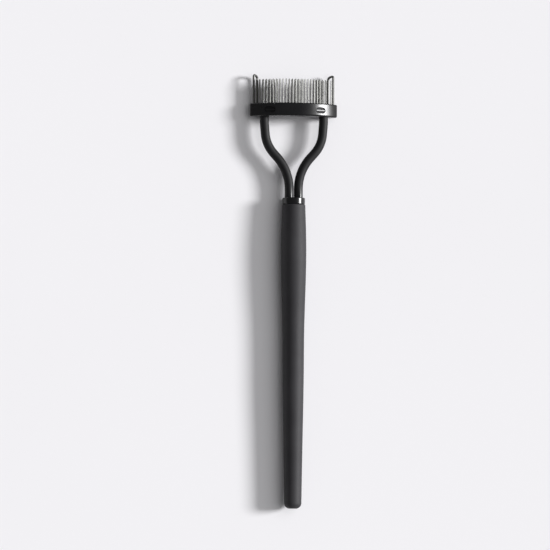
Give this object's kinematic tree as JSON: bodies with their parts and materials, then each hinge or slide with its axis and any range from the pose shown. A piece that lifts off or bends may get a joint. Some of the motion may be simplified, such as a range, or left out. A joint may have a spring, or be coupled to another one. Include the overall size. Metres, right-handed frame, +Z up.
{
  "type": "lash comb",
  "caption": "Lash comb with a tapered handle, a forked neck and an arched head that holds two rows of fine round pins between wire guards.",
  "frame": {"origin": "on the surface that the tool lies on, under the middle of its length", "axes": "+Y along the handle towards the head, +X across the head to the right, +Z up out of the crown of the arched head"},
  "size_m": [0.0266, 0.1305, 0.0081],
  "materials": {
    "soft_touch_black": "matte soft-touch",
    "gloss_black_metal": "gloss enamel",
    "satin_black_rod": "satin enamel",
    "gloss_black_case": "gloss enamel",
    "black_seat_plastic": "satin moulded",
    "black_plug_plastic": "satin moulded",
    "pin_steel": "drawn, bright",
    "guard_steel": "drawn, bright"
  },
  "bodies": {
    "root": {"handle": "soft_touch_black", "ferrule": "gloss_black_metal", "arm_plug": "black_plug_plastic", "left_arm": "satin_black_rod", "right_arm": "satin_black_rod", "head_case": "gloss_black_case", "pin_seat": "black_seat_plastic", "left_guard": "guard_steel", "right_guard": "guard_steel", "front_pin_01": "pin_steel", "front_pin_02": "pin_steel", "front_pin_03": "pin_steel", "front_pin_04": "pin_steel", "front_pin_05": "pin_steel", "front_pin_06": "pin_steel", "front_pin_07": "pin_steel", "front_pin_08": "pin_steel", "front_pin_09": "pin_steel", "front_pin_10": "pin_steel", "front_pin_11": "pin_steel", "front_pin_12": "pin_steel", "front_pin_13": "pin_steel", "front_pin_14": "pin_steel", "front_pin_15": "pin_steel", "front_pin_16": "pin_steel", "front_pin_17": "pin_steel", "front_pin_18": "pin_steel", "front_pin_19": "pin_steel", "front_pin_20": "pin_steel", "front_pin_21": "pin_steel", "front_pin_22": "pin_steel", "front_pin_23": "pin_steel", "front_pin_24": "pin_steel", "front_pin_25": "pin_steel", "back_pin_01": "pin_steel", "back_pin_02": "pin_steel", "back_pin_03": "pin_steel", "back_pin_04": "pin_steel", "back_pin_05": "pin_steel", "back_pin_06": "pin_steel", "back_pin_07": "pin_steel", "back_pin_08": "pin_steel", "back_pin_09": "pin_steel", "back_pin_10": "pin_steel", "back_pin_11": "pin_steel", "back_pin_12": "pin_steel", "back_pin_13": "pin_steel", "back_pin_14": "pin_steel", "back_pin_15": "pin_steel", "back_pin_16": "pin_steel", "back_pin_17": "pin_steel", "back_pin_18": "pin_steel", "back_pin_19": "pin_steel", "back_pin_20": "pin_steel", "back_pin_21": "pin_steel", "back_pin_22": "pin_steel", "back_pin_23": "pin_steel", "back_pin_24": "pin_steel", "back_pin_25": "pin_steel"}
  },
  "joints": []
}
